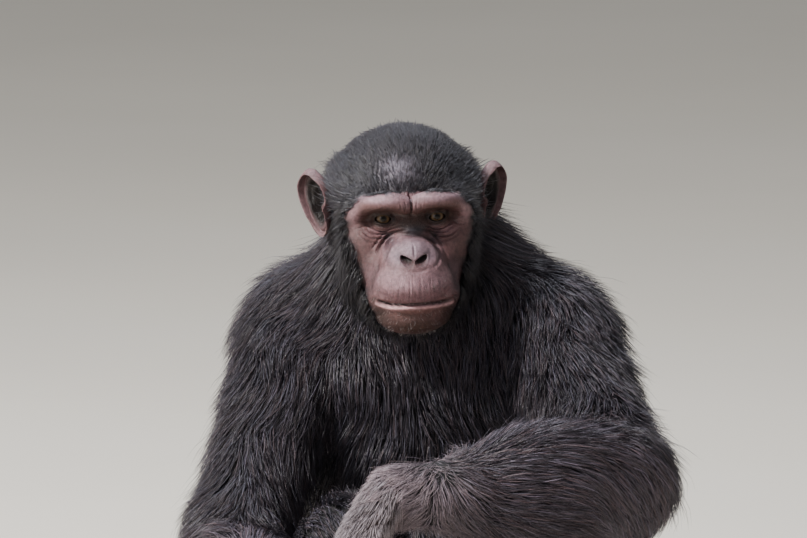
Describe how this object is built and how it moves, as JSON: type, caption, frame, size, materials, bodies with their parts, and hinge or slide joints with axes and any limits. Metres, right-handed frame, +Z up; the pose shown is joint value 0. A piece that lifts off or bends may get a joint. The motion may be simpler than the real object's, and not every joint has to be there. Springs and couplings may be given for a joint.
{
  "type": "seated chimpanzee",
  "caption": "Life-size still model of a chimpanzee sitting on the floor with its knees up and one forearm laid across them.",
  "frame": {"origin": "middle of the seat, on the floor that the animal sits on", "axes": "+X to the animal's left, -Y the way it faces, +Z up"},
  "size_m": [0.5122, 0.6257, 0.6444],
  "materials": {
    "coat": "coarse black hair, with a faint cool gloss",
    "face_skin": "bare brown-pink skin, finely wrinkled",
    "hand_skin": "bare dark skin, creased",
    "eye": "wet amber-brown eye"
  },
  "bodies": {
    "root": {"head": "face_skin", "ear_left": "face_skin", "ear_right": "face_skin", "eye_left": "eye", "eye_right": "eye", "neck": "coat", "torso": "coat", "upper_arm_left": "coat", "upper_arm_right": "coat", "forearm_left": "coat", "forearm_right": "coat", "hand_left": "hand_skin", "hand_right": "hand_skin", "thigh_left": "coat", "thigh_right": "coat", "shank_left": "coat", "shank_right": "coat", "foot_left": "hand_skin", "foot_right": "hand_skin"}
  },
  "joints": []
}
